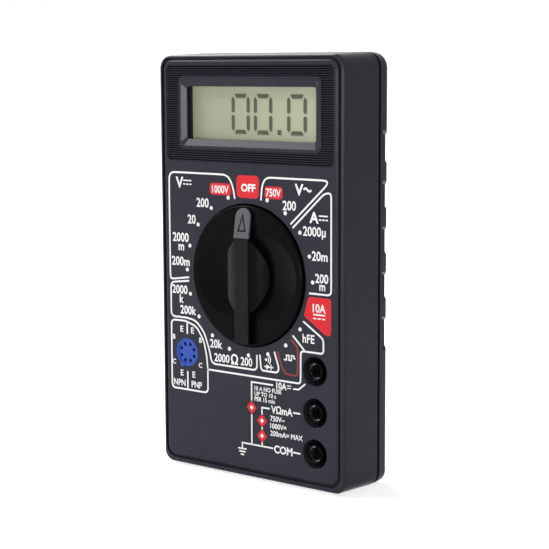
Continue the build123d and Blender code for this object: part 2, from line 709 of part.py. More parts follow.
# ---------------------------------------------------------------- one file for each piece
pieces = {
    "front_case": front_case,
    "rear_case": rear_case,
    "display_window": display_window,
    "lcd_panel": lcd_panel,
    "lcd_frame": lcd_frame,
    "zebra_strip": zebra_strip,
    "circuit_board": circuit_board,
    "switch_tracks": switch_tracks,
    "dial_knob": dial_knob,
    "dial_pointer": dial_pointer,
    "pointer_mark": pointer_mark,
    "wiper_contacts": wiper_contacts,
    "detent_ball_upper": detent_ball_upper,
    "detent_ball_lower": detent_ball_lower,
    "detent_spring_upper": detent_spring_upper,
    "detent_spring_lower": detent_spring_lower,
    "transistor_socket": transistor_socket,
    "transistor_contacts": transistor_contacts,
    "solder_joints": solder_joints,
    "shunt_wire": shunt_wire,
    "fuse_glass": fuse_glass,
    "fuse_caps": fuse_caps,
    "fuse_element": fuse_element,
    "fuse_clips": fuse_clips,
    "battery": battery,
    "battery_terminals": battery_terminals,
    "battery_snap": battery_snap,
    "snap_contacts": snap_contacts,
    "battery_lead_red": battery_lead_red,
    "battery_lead_black": battery_lead_black,
    "battery_pad": battery_pad,
    "piezo_buzzer": piezo_buzzer,
    "chip_blob": chip_blob,
    "trimmer_body": trimmer_body,
    "trimmer_rotor": trimmer_rotor,
    "resistor_bodies": resistor_bodies,
    "resistor_leads": resistor_leads,
    "diodes": diodes,
    "diode_leads": diode_leads,
    "electrolytic_capacitor": electrolytic_capacitor,
    "film_capacitors": film_capacitors,
    "transistor_bodies": transistor_bodies,
    "transistor_legs": transistor_legs,
    "board_screws": board_screws,
    "case_screws": case_screws,
}
for name, jack_z in jack_heights.items():
    pieces["jack_" + name] = jack_sleeve(jack_z)
    pieces["collar_" + name] = jack_collar(jack_z)

for name, piece in pieces.items():
    placed = Pos(0, to_middle, 0) * piece.part
    placed.label = name
    export_step(placed, "parts/" + name + ".step")
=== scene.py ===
# %% [markdown]
# A pocket digital multimeter, dressed for a picture. The moulded parts already have their true
# shapes in the CAD model, so this lesson does not model the case again. It gives every piece a
# finish, prints the face, lights the display and sets up a small studio. The first cell loads the
# CAD model as a fixed frame and keeps its outer box.

# %% Load the frame
import bpy
import bmesh
import math
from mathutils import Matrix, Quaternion, Vector


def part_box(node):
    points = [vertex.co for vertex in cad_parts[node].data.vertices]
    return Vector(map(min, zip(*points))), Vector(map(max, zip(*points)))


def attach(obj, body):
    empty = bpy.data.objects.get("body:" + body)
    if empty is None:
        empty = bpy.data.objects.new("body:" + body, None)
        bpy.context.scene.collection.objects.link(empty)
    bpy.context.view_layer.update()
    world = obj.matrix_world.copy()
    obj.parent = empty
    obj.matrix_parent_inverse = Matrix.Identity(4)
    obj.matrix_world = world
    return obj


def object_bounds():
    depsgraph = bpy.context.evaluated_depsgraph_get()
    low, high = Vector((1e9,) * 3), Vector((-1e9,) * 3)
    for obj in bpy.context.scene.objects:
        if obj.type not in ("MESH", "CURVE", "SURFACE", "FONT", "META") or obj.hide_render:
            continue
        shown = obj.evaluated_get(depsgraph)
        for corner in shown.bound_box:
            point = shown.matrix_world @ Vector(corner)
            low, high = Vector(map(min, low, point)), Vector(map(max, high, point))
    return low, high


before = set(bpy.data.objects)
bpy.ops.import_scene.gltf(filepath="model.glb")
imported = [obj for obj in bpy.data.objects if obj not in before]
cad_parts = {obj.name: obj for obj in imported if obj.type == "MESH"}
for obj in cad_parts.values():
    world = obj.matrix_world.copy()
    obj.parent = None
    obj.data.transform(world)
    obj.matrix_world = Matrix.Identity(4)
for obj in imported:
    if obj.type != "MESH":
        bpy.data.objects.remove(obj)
cad_low, cad_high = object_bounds()
scene = bpy.context.scene
scene.view_settings.view_transform = "Standard"
MM = 0.001
print("nodes", len(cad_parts), "box in mm", [round(v / MM, 1) for v in cad_high - cad_low])

# %% [markdown]
# Almost everything printed or placed here is measured from a few planes of the real pieces.
# The face plane is the front of the front half, the joint lies behind its back edge, the middle
# of the switch comes from the knob and the glass from the display panel. Reading them from the
# model keeps the print in place if the model is ever changed.

# %% Planes and centres
knob_low, knob_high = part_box("dial_knob")
glass_low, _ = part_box("lcd_panel")
case_low, case_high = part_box("front_case")
rear_low, rear_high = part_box("rear_case")
face_y = case_low.y
dial_z = (knob_low.z + knob_high.z) / 2 / MM
for what, y in (("face plane", face_y), ("front half ends", case_high.y),
                ("rear half starts", rear_low.y), ("rear half ends", rear_high.y),
                ("glass", glass_low.y)):
    print(what, round(y / MM, 2), "mm")
print("switch centre", round(dial_z, 2), "mm above the table")

# %% [markdown]
# Finishes are small networks of nodes. Four helpers keep them short. The first adds a Math node
# and feeds it numbers or other nodes, the second turns one span of values into another, the third
# adds a noise, and the fourth tells where on the piece a point lies. Each gives back an output, so
# that calls can be put one inside the other. The nodes could also be laid out by hand in the
# shader editor; in a script they stay repeatable.

# %% Helpers for node networks
def maths(tree, operation, *values, clamp=False):
    """A Math node; each value is a number or the output of another node."""
    node = tree.nodes.new("ShaderNodeMath")
    node.operation = operation
    node.use_clamp = clamp
    for socket, value in zip(node.inputs, values):
        if isinstance(value, (int, float)):
            socket.default_value = value
        else:
            tree.links.new(value, socket)
    return node.outputs[0]


def ramp(tree, value, start, end, low, high, smooth=False):
    """Turns start..end of a value into low..high, and holds it at both ends."""
    node = tree.nodes.new("ShaderNodeMapRange")
    node.interpolation_type = "SMOOTHSTEP" if smooth else "LINEAR"
    for name, number in zip(("From Min", "From Max", "To Min", "To Max"), (start, end, low, high)):
        node.inputs[name].default_value = number
    tree.links.new(value, node.inputs["Value"])
    return node.outputs["Result"]


def noise(tree, place, scale, detail):
    """A noise of so many waves to the metre."""
    node = tree.nodes.new("ShaderNodeTexNoise")
    node.inputs["Scale"].default_value = scale
    node.inputs["Detail"].default_value = detail
    tree.links.new(place, node.inputs["Vector"])
    return node.outputs["Fac"]


def object_axes(tree):
    """The place on the piece, split into its x, y and z in metres."""
    place = tree.nodes.new("ShaderNodeTexCoord")
    axes = tree.nodes.new("ShaderNodeSeparateXYZ")
    tree.links.new(place.outputs["Object"], axes.inputs["Vector"])
    return axes.outputs


print("one millimetre is", MM, "m in every network")

# %% [markdown]
# Every finish starts from the same small set of parts: a colour that wanders a little, a gloss
# that wanders a little, and a fine relief. Real mouldings are never one even colour. The helper
# wires these together with noise that is fixed to the piece in real millimetres, so the grain has
# the same size on every piece. The alternative, a painted image, would need a flat layout of each.

# %% A finish with wandering colour, gloss and relief
BROAD_SCALE, BROAD_DETAIL, FINE_DETAIL = 60, 4, 3
NOISE_LOW, NOISE_HIGH = 0.3, 0.7
finishes = {}


def finish(name, dark, light, rough, grain, relief, metal=0.0, specular=0.5, stretch=(1, 1, 1)):
    """Makes a material; its colour runs from dark to light, grain and relief are in mm."""
    material = bpy.data.materials.new(name)
    material.use_nodes = True
    tree = material.node_tree
    nodes, links = tree.nodes, tree.links
    shader = nodes["Principled BSDF"]
    shader.inputs["Metallic"].default_value = metal
    shader.inputs["Specular IOR Level"].default_value = specular
    place = nodes.new("ShaderNodeTexCoord")
    sizing = nodes.new("ShaderNodeMapping")
    sizing.inputs["Scale"].default_value = stretch
    links.new(place.outputs["Object"], sizing.inputs["Vector"])
    broad = noise(tree, sizing.outputs["Vector"], BROAD_SCALE, BROAD_DETAIL)
    fine = noise(tree, sizing.outputs["Vector"], 1 / (grain * MM), FINE_DETAIL)
    mixed = maths(tree, "MULTIPLY_ADD", broad, 0.5, maths(tree, "MULTIPLY", fine, 0.5))
    colour = nodes.new("ShaderNodeValToRGB")
    for end, position, tint in zip(colour.color_ramp.elements, (NOISE_LOW, NOISE_HIGH),
                                   (dark, light)):
        end.position = position
        end.color = (*tint, 1)
    links.new(mixed, colour.inputs["Fac"])
    links.new(colour.outputs["Color"], shader.inputs["Base Color"])
    links.new(ramp(tree, fine, NOISE_LOW, NOISE_HIGH, *rough), shader.inputs["Roughness"])
    if relief:
        bump = nodes.new("ShaderNodeBump")
        bump.inputs["Strength"].default_value = 1.0
        bump.inputs["Distance"].default_value = relief * MM
        links.new(fine, bump.inputs["Height"])
        links.new(bump.outputs["Normal"], shader.inputs["Normal"])
    finishes[name] = material
    return material


print("colour follows the noise from", NOISE_LOW, "to", NOISE_HIGH)

# %% [markdown]
# The case is a dark, faintly blue plastic with a fine sparked texture from its mould, which breaks
# up reflections. The switch knob is blacker and smoother, because hands and a polished mould keep
# it so. The pointer on it is a separate grey moulding, and the transistor socket is a blue one.
# The collars round the test sockets and the frame of the display are plain black.

# %% Plastics
case_plastic = finish("case_plastic", (0.0230, 0.0242, 0.0332), (0.0335, 0.0350, 0.0462),
                      rough=(0.22, 0.30), grain=0.30, relief=0.008, specular=0.08)
knob_plastic = finish("knob_plastic", (0.0020, 0.0020, 0.0024), (0.0034, 0.0034, 0.0040),
                      rough=(0.20, 0.27), grain=0.30, relief=0.002, specular=0.035)
finish("pointer_plastic", (0.082, 0.085, 0.097), (0.108, 0.111, 0.124),
       rough=(0.42, 0.52), grain=0.2, relief=0.004, specular=0.20)
finish("socket_plastic", (0.016, 0.056, 0.320), (0.028, 0.080, 0.410),
       rough=(0.30, 0.40), grain=0.25, relief=0.003, specular=0.3)
finish("collar_plastic", (0.0018, 0.0018, 0.0020), (0.0034, 0.0034, 0.0036),
       rough=(0.24, 0.32), grain=0.3, relief=0.002, specular=0.03)
finish("frame_plastic", (0.0030, 0.0030, 0.0032), (0.0050, 0.0050, 0.0054),
       rough=(0.50, 0.62), grain=0.2, relief=0.006, specular=0.08)
print("plastics", len(finishes))

# %% [markdown]
# Some parts of a moulding are darker or lighter than the rest, partly for real and partly as
# painted light: painted shade in the slots and the joint, rubbing and painted light on the switch
# grip, polish and a painted highlight on the edges. All of these scale the finish that is already
# there, so one small helper does that: it takes whatever feeds a socket of the shader and
# multiplies it. Only colour and roughness are changed this way. The strength of the gloss stays
# one plain number on the shader, because a changing one is lost when a model is exported.

# %% Scale what feeds the shader
DULL = 3.4


def scale_input(tree, socket, factor):
    """Multiplies what reaches a socket of the shader by the output of another node."""
    shader = tree.nodes["Principled BSDF"]
    product = tree.nodes.new("ShaderNodeVectorMath")
    product.operation = "SCALE"
    tree.links.new(shader.inputs[socket].links[0].from_socket, product.inputs[0])
    tree.links.new(factor, product.inputs["Scale"])
    tree.links.new(product.outputs["Vector"], shader.inputs[socket])


print("in the dark a surface is", DULL, "times as rough")

# %% [markdown]
# Narrow slots in a black moulding look blacker than its open faces, because little light finds its
# way in and out. That shade is painted into the colour here. A shader can ask how open a spot is
# with an ambient occlusion node, here within nine tenths of a millimetre. It paints shade on the
# case and dulls it where it is closed in, which draws the ribbed panel.

# %% Painted shade in the slots
CLOSED, OPEN = 0.42, 0.86


def paint_slot_shade(material, reach, slot_shade_tone):
    """Paints shade on spots closed in within reach millimetres, down to slot_shade_tone."""
    tree = material.node_tree
    openness = tree.nodes.new("ShaderNodeAmbientOcclusion")
    openness.samples = 8
    openness.inputs["Distance"].default_value = reach * MM
    for socket, inside in (("Base Color", slot_shade_tone), ("Roughness", DULL)):
        scale_input(tree, socket, ramp(tree, openness.outputs["AO"], CLOSED, OPEN, inside, 1.0))


# Painted shade in the slots and ribs of the case.
paint_slot_shade(case_plastic, reach=0.9, slot_shade_tone=0.02)
print("slots darken where less than", OPEN, "of the space is open")

# %% [markdown]
# Rounded edges of a textured moulding are handled most and wear smooth, so they catch the lamps in
# thin bright lines. Here they are made smoother, and their colour is lightened a little as a
# painted
# highlight. On a box-like piece an edge is where the surface looks along none of the three axes:
# the largest part of its direction drops below one. That needs no mask drawn on the piece, and it
# finds every edge, also inside the display frame.

# %% Polished edges with a painted highlight
FLAT, SLOPING = 0.985, 0.88


def polish_and_highlight_edges(material, highlight_gain, smoothing):
    """Lightens rounded edges and slopes as a painted highlight, and smooths them."""
    tree = material.node_tree
    place = tree.nodes.new("ShaderNodeTexCoord")
    size = tree.nodes.new("ShaderNodeVectorMath")
    size.operation = "ABSOLUTE"
    tree.links.new(place.outputs["Normal"], size.inputs[0])
    parts = tree.nodes.new("ShaderNodeSeparateXYZ")
    tree.links.new(size.outputs["Vector"], parts.inputs["Vector"])
    larger = maths(tree, "MAXIMUM", parts.outputs["X"], parts.outputs["Y"])
    largest = maths(tree, "MAXIMUM", larger, parts.outputs["Z"])
    for socket, gain in (("Base Color", highlight_gain), ("Roughness", smoothing)):
        scale_input(tree, socket, ramp(tree, largest, FLAT, SLOPING, 1.0, gain))


# Real polish in the roughness, a painted highlight in the colour.
polish_and_highlight_edges(case_plastic, highlight_gain=1.10, smoothing=0.66)
print("edges start", round(math.degrees(math.acos(FLAT)), 1), "degrees off an axis")

# %% [markdown]
# The two halves of the case meet in a fine open joint. It lies in a plane parallel to the face, so
# its depth behind the face is enough to find it, and a narrow band around that plane is painted
# nearly black: painted shade of the open joint, laid on the edges of both halves beside it.

# %% Painted shade in the joint between the halves
def shade_band(material, middle_y, half, soft, joint_shade_tone):
    """Paints shade in a band of soft-edged half width, in mm, around a plane parallel to the face.
    """
    tree = material.node_tree
    distance = maths(tree, "ABSOLUTE",
                     maths(tree, "SUBTRACT", object_axes(tree)["Y"], middle_y))
    for socket, inside in (("Base Color", joint_shade_tone), ("Roughness", DULL)):
        scale_input(tree, socket, ramp(tree, distance, half * MM, (half + soft) * MM,
                                       inside, 1.0, smooth=True))


joint_y = case_high.y + 0.40 * MM
# Painted shade along the joint.
shade_band(case_plastic, joint_y, half=0.42, soft=0.16, joint_shade_tone=0.02)
print("joint", round((joint_y - face_y) / MM, 2), "mm behind the face")

# %% [markdown]
# The top of the switch grip is rubbed grey, and the side that faces the light from the left front
# is lightened further as painted light. Its height in front of the face picks the grip out of the
# black disc, and the direction in which the surface looks picks its top and its lit side out of
# the grip. The two are multiplied, so only what passes both is lightened.

# %% The rubbed grip with painted light
LIT_SIDE = (-0.42, -0.91, 0)
ASIDE, TOWARDS = 0.79, 0.88


def rub_and_light(material, start, full, gain):
    """Scales the colour up to gain from start to full mm in front of the face: rubbing, painted
    light.
    """
    tree = material.node_tree
    place = tree.nodes.new("ShaderNodeTexCoord")
    facing = tree.nodes.new("ShaderNodeVectorMath")
    facing.operation = "DOT_PRODUCT"
    facing.inputs[1].default_value = LIT_SIDE
    tree.links.new(place.outputs["Normal"], facing.inputs[0])
    height = ramp(tree, object_axes(tree)["Y"], face_y - start * MM, face_y - full * MM,
                  0.0, 1.0, smooth=True)
    side = ramp(tree, facing.outputs["Value"], ASIDE, TOWARDS, 0.0, 1.0)
    worn = maths(tree, "MULTIPLY", height, side)
    scale_input(tree, "Base Color", ramp(tree, worn, 0.0, 1.0, 1.0, gain))


rub_start, rub_full = 1.3, 2.0
# Real rubbing on the top, painted light on the side that faces the lamp.
rub_and_light(knob_plastic, rub_start, rub_full, gain=5.5)
print("rubbed from", rub_start, "to", rub_full, "mm in front of the face")

# %% [markdown]
# Metals need little colour but a directional grain: drawn wire, turned sleeves and rolled strip
# all show fine lines. Stretching the noise along one axis gives that grain without modelling any
# scratch. A table is enough here, because the metals differ only in their numbers.

# %% Metals
for name, dark, light, rough, grain, relief, stretch in (
        # The plated sleeves are set darker than bare nickel, as painted shade, because they sit
        # deep in the sockets.
        ("shaded_plated_sleeve", (0.34, 0.335, 0.32), (0.48, 0.475, 0.46), (0.20, 0.34), 0.25, 0.002,
         (1, 0.15, 1)),
        ("strip_brass", (0.60, 0.44, 0.20), (0.76, 0.58, 0.30), (0.25, 0.40), 0.3, 0.002,
         (0.2, 1, 1)),
        ("plated_track", (0.70, 0.48, 0.16), (0.84, 0.62, 0.26), (0.22, 0.36), 0.4, 0.001,
         (1, 1, 1)),
        ("bright_steel", (0.46, 0.46, 0.45), (0.62, 0.62, 0.60), (0.22, 0.36), 0.25, 0.002,
         (1, 0.2, 1)),
        ("tinned_wire", (0.58, 0.58, 0.58), (0.74, 0.74, 0.72), (0.28, 0.42), 0.2, 0.003,
         (1, 1, 1)),
        ("drawn_copper", (0.58, 0.27, 0.15), (0.74, 0.38, 0.22), (0.25, 0.38), 0.25, 0.002,
         (1, 1, 1))):
    finish(name, dark, light, rough, grain, relief, metal=1.0, stretch=stretch)
print("with metals", len(finishes))

# %% [markdown]
# The pieces behind the face are seen only when the case is opened or cut away, but a reusable part
# should be finished inside too. They follow the same recipe: lacquered board, potting compound,
# foam, rubber, wire sheaths, the coats of small components and the jacket of the battery.

# %% Finishes of the inner pieces
finish("board_lacquer", (0.030, 0.095, 0.030), (0.050, 0.140, 0.045), (0.25, 0.38), 1.2, 0.004)
finish("potting", (0.008, 0.008, 0.009), (0.016, 0.016, 0.017), (0.16, 0.30), 1.0, 0.01)
finish("foam_pad", (0.020, 0.020, 0.022), (0.060, 0.060, 0.065), (0.85, 0.95), 0.45, 0.08)
finish("strip_rubber", (0.42, 0.20, 0.22), (0.54, 0.28, 0.30), (0.60, 0.72), 0.2, 0.004,
       stretch=(6, 1, 1))
finish("battery_jacket", (0.030, 0.034, 0.045), (0.045, 0.050, 0.062), (0.24, 0.34), 0.8, 0.001)
finish("red_sheath", (0.46, 0.012, 0.012), (0.56, 0.020, 0.018), (0.38, 0.48), 0.3, 0.002)
finish("black_sheath", (0.010, 0.010, 0.010), (0.018, 0.018, 0.018), (0.38, 0.48), 0.3, 0.002)
finish("resistor_coat", (0.50, 0.34, 0.17), (0.60, 0.43, 0.23), (0.30, 0.42), 0.3, 0.003)
finish("can_sleeve", (0.035, 0.040, 0.130), (0.050, 0.058, 0.170), (0.26, 0.38), 0.4, 0.001)
finish("film_coat", (0.42, 0.120, 0.025), (0.52, 0.160, 0.040), (0.22, 0.34), 0.5, 0.004)
finish("white_holder", (0.60, 0.60, 0.57), (0.68, 0.68, 0.65), (0.42, 0.52), 0.4, 0.002)
print("with inner finishes", len(finishes))

# %% [markdown]
# The display is a liquid crystal cell: a grey-green reflector behind thin glass. A slow blend
# along the length of the panel, darker on the left and lighter on the right, is laid over the
# usual noise.

# %% Display glass
lcd_glass = finish("lcd_glass", (0.455, 0.478, 0.335), (0.485, 0.508, 0.360), (0.30, 0.36),
                   0.5, 0.0, specular=0.2)
half_panel = 0.024
left_tone, right_tone = 0.86, 1.12
glass_tree = lcd_glass.node_tree
scale_input(glass_tree, "Base Color", ramp(glass_tree, object_axes(glass_tree)["X"],
                                           -half_panel, half_panel, left_tone, right_tone))
print("display drifts from", left_tone, "to", right_tone)

# %% [markdown]
# The window in front of the display and the tube of the fuse are clear. Real refraction would need
# many more samples and would darken the panel. A nearly transparent surface is enough, and it lets
# the lamps reach what lies behind it.

# %% Clear window and fuse tube
window_clear = finish("window_clear", (0.09, 0.10, 0.09), (0.12, 0.13, 0.12), (0.04, 0.08),
                      2.0, 0.0)
tube_clear = finish("tube_clear", (0.80, 0.84, 0.83), (0.88, 0.91, 0.90), (0.03, 0.06), 1.5, 0.0)
for clear, cover in ((window_clear, 0.05), (tube_clear, 0.22)):
    clear.node_tree.nodes["Principled BSDF"].inputs["Alpha"].default_value = cover
    clear.blend_method = "BLEND"
    print(clear.name, "covers", cover)

# %% [markdown]
# Each CAD node keeps its mesh and only receives a finish. One table says which finish goes where,
# so a reader can change the whole look of the meter in a single place.

# %% Dress the CAD nodes
wardrobe = {
    "case_plastic": ["front_case", "rear_case"],
    "knob_plastic": ["dial_knob", "pointer_mark"],
    "pointer_plastic": ["dial_pointer"],
    "socket_plastic": ["transistor_socket", "trimmer_body"],
    "collar_plastic": ["collar_10a", "collar_volt_ohm", "collar_common", "battery_snap",
                       "piezo_buzzer"],
    "frame_plastic": ["lcd_frame"],
    "shaded_plated_sleeve": ["jack_10a", "jack_volt_ohm", "jack_common", "transistor_contacts"],
    "strip_brass": ["wiper_contacts", "fuse_clips"],
    "plated_track": ["switch_tracks"],
    "bright_steel": ["detent_ball_upper", "detent_ball_lower", "detent_spring_upper",
                     "detent_spring_lower", "fuse_caps", "battery_terminals", "snap_contacts",
                     "board_screws", "case_screws"],
    "tinned_wire": ["solder_joints", "fuse_element", "resistor_leads", "diode_leads",
                    "transistor_legs"],
    "drawn_copper": ["shunt_wire"],
    "board_lacquer": ["circuit_board"],
    "potting": ["chip_blob", "diodes", "transistor_bodies"],
    "foam_pad": ["battery_pad"],
    "strip_rubber": ["zebra_strip"],
    "battery_jacket": ["battery"],
    "red_sheath": ["battery_lead_red"],
    "black_sheath": ["battery_lead_black"],
    "resistor_coat": ["resistor_bodies"],
    "can_sleeve": ["electrolytic_capacitor"],
    "film_coat": ["film_capacitors"],
    "white_holder": ["trimmer_rotor"],
    "lcd_glass": ["lcd_panel"],
    "window_clear": ["display_window"],
    "tube_clear": ["fuse_glass"],
}
dressed = 0
for finish_name, node_names in wardrobe.items():
    for node_name in node_names:
        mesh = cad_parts[node_name].data
        mesh.materials.clear()
        mesh.materials.append(finishes[finish_name])
        dressed += 1
print("dressed", dressed, "of", len(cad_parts))

# %% [markdown]
# The scale is screen-printed: a skin of ink about a hundredth of a millimetre thick, just above
# the textured plastic. It could be painted by a material mask, but ink with its own thin body
# stays sharp at any distance and exports as geometry. We collect all ink of one colour in one
# mesh. The helpers work in millimetres on the face: x to the right of the switch centre line,
# z above the table.

# %% Inks
white_ink = finish("white_ink", (0.74, 0.74, 0.73), (0.88, 0.88, 0.87), (0.50, 0.62), 0.16, 0.010,
                   specular=0.2)
red_ink = finish("red_ink", (0.58, 0.018, 0.028), (0.68, 0.027, 0.038), (0.46, 0.58), 0.16, 0.010,
                 specular=0.2)
dark_red_ink = finish("dark_red_ink", (0.21, 0.030, 0.034), (0.27, 0.044, 0.048), (0.50, 0.60),
                      0.16, 0.010, specular=0.2)
white_print = bmesh.new()
red_print = bmesh.new()
dark_red_print = bmesh.new()
SKIN = 0.012


def plane_point(x, z, lift):
    """A point on the face, lift millimetres in front of it."""
    return Vector((x * MM, face_y - lift * MM, z * MM))


def prism(ink, outline, lift):
    """Adds a thin solid with the given outline to an ink mesh."""
    area = sum(a[0] * b[1] - b[0] * a[1] for a, b in zip(outline, outline[1:] + outline[:1]))
    if area < 0:
        outline = outline[::-1]
    front = [ink.verts.new(plane_point(x, z, lift)) for x, z in outline]
    back = [ink.verts.new(plane_point(x, z, lift - SKIN)) for x, z in outline]
    ink.faces.new(front)
    ink.faces.new(back[::-1])
    count = len(outline)
    for i in range(count):
        j = (i + 1) % count
        ink.faces.new((front[j], front[i], back[i], back[j]))


print("ink is", SKIN, "mm thick")

# %% [markdown]
# Printed frames have rounded corners. A corner is softened by sliding a point along a short curve
# between the two straight sides that meet there; six steps are enough at this size. The curve
# never takes more than half of a side, so two neighbouring corners cannot run into each other.

# %% Rounded corners
CURVE_STEPS = 6
SIDE_SHARE = 0.48


def soften(corners, radius, closed):
    """Rounds the corners of a path; radius is how far from the corner the curve starts."""
    path = []
    count = len(corners)
    for i, corner in enumerate(corners):
        if not closed and i in (0, count - 1):
            path.append(corner)
            continue
        here = Vector(corner)
        before, after = Vector(corners[i - 1]), Vector(corners[(i + 1) % count])
        reach_in = min(radius, (before - here).length * SIDE_SHARE)
        reach_out = min(radius, (after - here).length * SIDE_SHARE)
        start = here + (before - here).normalized() * reach_in
        end = here + (after - here).normalized() * reach_out
        for step in range(CURVE_STEPS + 1):
            t = step / CURVE_STEPS
            point = start * (1 - t) ** 2 + here * 2 * t * (1 - t) + end * t**2
            path.append((point.x, point.y))
    return path


print("points on a corner", len(soften([(0, 0), (1, 0), (1, 1)], 0.2, False)) - 2)

# %% [markdown]
# A line is a path widened to both sides, so one helper serves every frame, bar and dash on the
# face. At a bend the two sides meet on the halving line, a little further out, so that the line
# keeps its width. Patches and dots are filled outlines. Ink that lies over other ink gets more
# lift, or the two would fight for the same depth.

# %% Lines, patches and dots
PATCH_LIFT, LINE_LIFT, WORD_LIFT = 0.014, 0.016, 0.018
LINE_ON_PATCH, WORD_ON_PATCH = 0.032, 0.034
LEAST_BEND = 0.5


def line(ink, corners, width=0.55, radius=0.0, lift=LINE_LIFT):
    """Draws a line of ink along a path."""
    path = soften(corners, radius, False) if radius else list(corners)
    left, right = [], []
    for i, point in enumerate(path):
        here = Vector(point)
        ahead = (Vector(path[i + 1]) - here).normalized() if i < len(path) - 1 else None
        behind = (here - Vector(path[i - 1])).normalized() if i else None
        if ahead is None:
            way = behind
        elif behind is None:
            way = ahead
        else:
            way = (ahead + behind).normalized()
        side = Vector((-way.y, way.x))
        swell = 1.0
        if ahead is not None and behind is not None:
            swell = 1 / max(LEAST_BEND, side.dot(Vector((-behind.y, behind.x))))
        left.append(here + side * width / 2 * swell)
        right.append(here - side * width / 2 * swell)
    for i in range(len(path) - 1):
        a, b, c, d = right[i], right[i + 1], left[i + 1], left[i]
        prism(ink, [(a.x, a.y), (b.x, b.y), (c.x, c.y), (d.x, d.y)], lift)


def patch(ink, corners, radius, lift=PATCH_LIFT):
    """Fills an area of ink with rounded corners."""
    prism(ink, soften(corners, radius, True), lift)


def dot(ink, x, z, radius, steps=20):
    """A round dot of ink."""
    angles = [2 * math.pi * k / steps for k in range(steps)]
    prism(ink, [(x + radius * math.cos(a), z + radius * math.sin(a)) for a in angles], LINE_LIFT)


print("lifts of patch, line and word", PATCH_LIFT, LINE_LIFT, WORD_LIFT)

# %% [markdown]
# The voltage, current, resistance and transistor fields are outlined in white, and the field of
# the square wave in dark red. Each frame follows the edge of the switch where it comes near it,
# and runs straight along the sides of the face. The radius beside each path rounds its corners.

# %% Field outlines
for radius, corners in (
        (2.4, [(-4.8, 83.5), (-5.6, 87.6), (-7.6, 90.5), (-30.6, 90.5), (-30.6, 58.2),
               (-29.8, 57.9), (-23.0, 58.9)]),
        (1.7, [(5.0, 83.6), (5.5, 88.2), (7.0, 90.3), (28.7, 90.3), (28.9, 89.2), (15.8, 77.3)]),
        (1.4, [(16.6, 76.3), (27.8, 86.6), (30.2, 86.9), (30.2, 58.0), (22.4, 58.0)]),
        (1.1, [(20.3, 49.7), (26.9, 45.6), (27.5, 44.8), (27.5, 41.0), (19.4, 41.0),
               (19.3, 31.4), (-16.2, 31.4)]),
        (0.1, [(16.5, 45.2), (20.9, 41.1)]),
        (1.6, [(3.2, 38.0), (3.2, 33.4), (-14.3, 33.4), (-15.1, 37.2), (-17.2, 42.6),
               (-20.4, 45.8), (-23.6, 46.4), (-30.4, 46.4), (-30.4, 56.9), (-23.0, 57.8)]),
        (1.0, [(4.3, 38.2), (4.8, 33.6), (10.9, 33.6), (11.4, 35.0), (9.7, 39.7)]),
        (1.5, [(-15.9, 31.4), (-15.9, 24.2), (-30.4, 24.2), (-30.4, 45.3), (-24.6, 45.4),
               (-20.2, 44.0), (-17.4, 40.0), (-16.3, 35.6), (-15.9, 31.4)]),
        (0.0, [(-24.0, 45.2), (-24.0, 41.4)]),
        (0.0, [(-24.0, 29.9), (-24.0, 24.4)])):
    line(white_print, corners, radius=radius)
line(dark_red_print, [(15.9, 43.9), (18.3, 41.9), (18.2, 33.5), (14.0, 33.5), (12.5, 35.4),
                      (10.9, 39.9)], radius=1.2)
print("white faces", len(white_print.faces))

# %% [markdown]
# Letters and numerals come from Blender's own plain typeface. A text object is turned into a flat
# mesh, and the points that its curves leave double are welded, so that the outline of each letter
# can be found as the edges with a face on one side only. A small offset makes the strokes bolder,
# as ink spreads when it is pressed through the screen.

# %% A flat mesh of a word
CAPITAL = 0.69
WELD = 0.0005


def letter_mesh(text, bold):
    """The letters as a flat mesh at size one, with the middle and the width of the word."""
    curve = bpy.data.curves.new("word", "FONT")
    curve.body = text
    curve.size = 1.0
    curve.offset = bold
    curve.resolution_u = 3
    carrier = bpy.data.objects.new("word", curve)
    bpy.context.collection.objects.link(carrier)
    bpy.context.view_layer.update()
    evaluated = carrier.evaluated_get(bpy.context.evaluated_depsgraph_get())
    mesh = bpy.data.meshes.new_from_object(evaluated)
    across = [v.co.x for v in mesh.vertices]
    up = [v.co.y for v in mesh.vertices]
    letters = bmesh.new()
    letters.from_mesh(mesh)
    bmesh.ops.remove_doubles(letters, verts=letters.verts, dist=WELD)
    bpy.data.objects.remove(carrier)
    bpy.data.curves.remove(curve)
    bpy.data.meshes.remove(mesh)
    middle = ((min(across) + max(across)) / 2, (min(up) + max(up)) / 2)
    return letters, middle, max(across) - min(across)


trial_letters, _, trial_width = letter_mesh("OFF", 0.0)
trial_letters.free()
print("three capitals at size one are", round(trial_width, 2), "wide")

# %% [markdown]
# To print a word, its flat mesh is scaled to the height wanted, moved onto the face and given the
# thickness of the ink: a front, a back and a rim. The width is drawn in, because scales like this
# one use narrow figures.

# %% Print a word
def word(ink, text, x, z, tall, narrow=0.86, bold=0.022, lift=WORD_LIFT):
    """Prints a word centred on x, z; tall is the height of its capitals in millimetres."""
    letters, (mid_x, mid_y), width = letter_mesh(text, bold)
    scale = tall / CAPITAL
    rim = [edge for edge in letters.edges if len(edge.link_faces) == 1]
    faces = list(letters.faces)
    flip = bool(faces) and faces[0].normal.z < 0
    front, back = {}, {}
    for v in letters.verts:
        px = x + (v.co.x - mid_x) * scale * narrow
        pz = z + (v.co.y - mid_y) * scale
        front[v] = ink.verts.new(plane_point(px, pz, lift))
        back[v] = ink.verts.new(plane_point(px, pz, lift - SKIN))
    for face in faces:
        loop = list(face.verts)
        if flip:
            loop.reverse()
        ink.faces.new([front[v] for v in loop])
        ink.faces.new([back[v] for v in reversed(loop)])
    for edge in rim:
        a, b = edge.verts
        ink.faces.new((front[a], front[b], back[b], back[a]))
    letters.free()
    return width * scale * narrow


